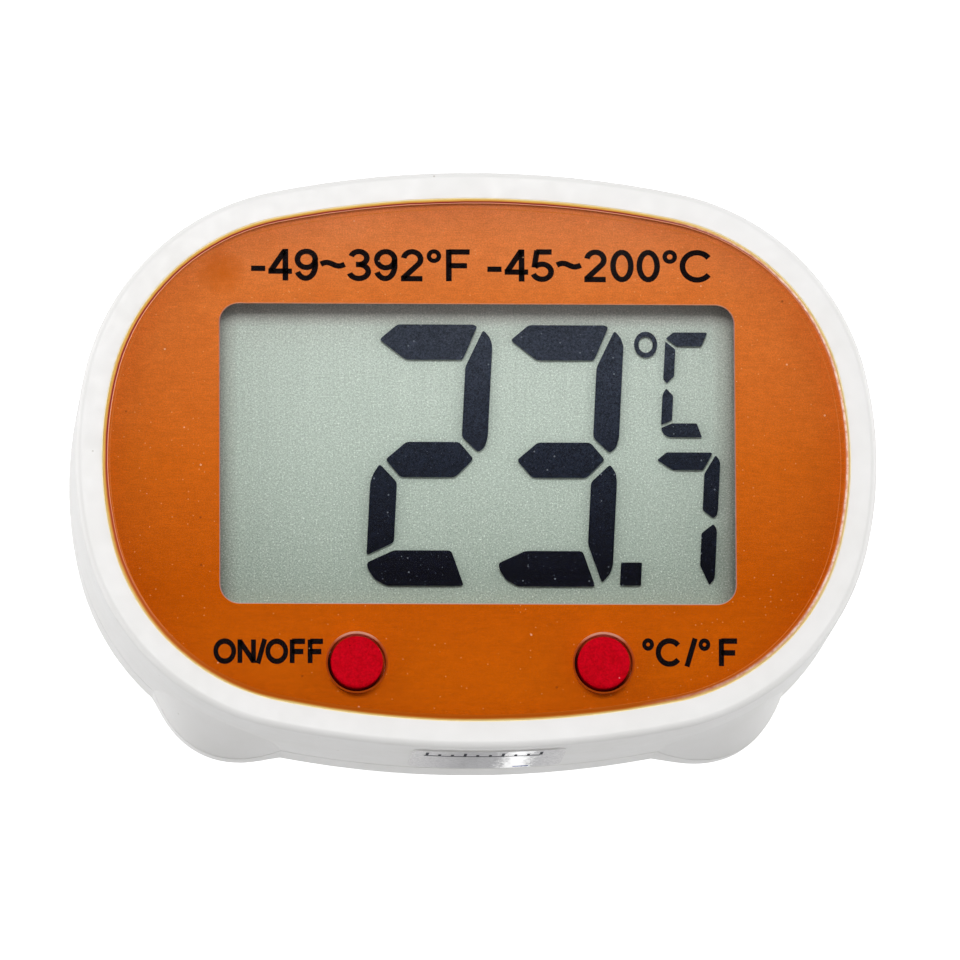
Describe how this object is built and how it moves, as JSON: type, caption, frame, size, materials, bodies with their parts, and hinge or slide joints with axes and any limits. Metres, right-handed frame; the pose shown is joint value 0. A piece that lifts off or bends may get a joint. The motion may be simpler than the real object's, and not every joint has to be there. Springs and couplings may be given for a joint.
{
  "type": "digital probe thermometer",
  "caption": "Digital probe thermometer: oval head with a large display, range legend and round keys, on a long pointed steel stem at right angles to the display.",
  "frame": {"origin": "on the stem's axis, at the end of the boss behind the head, where the bare stem begins", "axes": "+Z along the stem's axis towards the display, which faces +Z; +Y towards the top of the display; +X to the right of a reader"},
  "size_m": [0.06, 0.0437, 0.1465],
  "materials": {
    "white_abs": "satin moulded, slightly translucent white",
    "grey_abs": "moulded, matt",
    "clear_acrylic": "clear polished acrylic with a bevelled edge",
    "orange_ink": "opaque screen-printed ink with fine specks",
    "metal_foil": "thin bright metal foil, slightly grained",
    "display_film": "polarising film, matt anti-glare face",
    "display_glass": "thin float glass",
    "display_reflector": "greenish grey diffuse reflector",
    "black_foam": "closed-cell foam",
    "striped_elastomer": "layered silicone",
    "red_key": "crimson moulded key, satin",
    "silicone": "translucent silicone",
    "green_board": "solder-masked glass-epoxy board",
    "black_epoxy": "glob-top epoxy",
    "chip_black": "chip resistor body",
    "chip_tan": "ceramic chip capacitor body",
    "plated_screw": "nickel plated",
    "cell_steel": "nickel-plated cell can",
    "black_rubber": "nitrile seal",
    "contact_brass": "sprung strip",
    "stem_steel": "drawn stainless steel, satin",
    "bead_glass": "glass-coated bead",
    "lead_insulation": "enamelled wire",
    "white_paste": "heat-conducting paste"
  },
  "bodies": {
    "head": {"front_casing": "white_abs", "rear_cover": "white_abs", "clear_lens": "clear_acrylic", "orange_print": "orange_ink", "foil_label": "metal_foil", "front_polariser": "display_film", "lcd_front_glass": "display_glass", "lcd_rear_glass": "display_glass", "rear_reflector": "display_reflector", "lcd_foam_frame": "black_foam", "lcd_backing_frame": "grey_abs", "zebra_strip": "striped_elastomer", "on_off_dome": "silicone", "unit_dome": "silicone", "main_pcb": "green_board", "cob_chip": "black_epoxy", "chip_resistors": "chip_black", "chip_capacitors": "chip_tan", "pcb_screws": "plated_screw", "case_screws": "plated_screw", "button_cell": "cell_steel", "stem_oring": "black_rubber", "negative_contact": "contact_brass", "positive_contact": "contact_brass", "stem_tube": "stem_steel", "stem_tip": "stem_steel", "stem_ferrule": "stem_steel", "thermistor_bead": "bead_glass", "thermistor_leads": "lead_insulation", "tip_filler": "white_paste"},
    "on_off_key": {"on_off_key": "red_key"},
    "unit_key": {"unit_key": "red_key"},
    "battery_cover": {"battery_cover": "white_abs", "battery_cover_oring": "black_rubber"}
  },
  "joints": [
    {"name": "on_off_press", "type": "slide", "parent": "head", "child": "on_off_key", "axis": [0, 0, -1], "range_m": [0, 0.00045], "stiffness_N_per_m": 1500, "springref_m": -0.0004, "deforming": ["on_off_dome"]},
    {"name": "unit_press", "type": "slide", "parent": "head", "child": "unit_key", "axis": [0, 0, -1], "range_m": [0, 0.00045], "stiffness_N_per_m": 1500, "springref_m": -0.0004, "deforming": ["unit_dome"]},
    {"name": "battery_cover_turn", "type": "hinge", "parent": "head", "child": "battery_cover", "pos_m": [0.015, 0, 0.003], "axis": [0, 0, -1], "range_deg": [0, 60]}
  ]
}
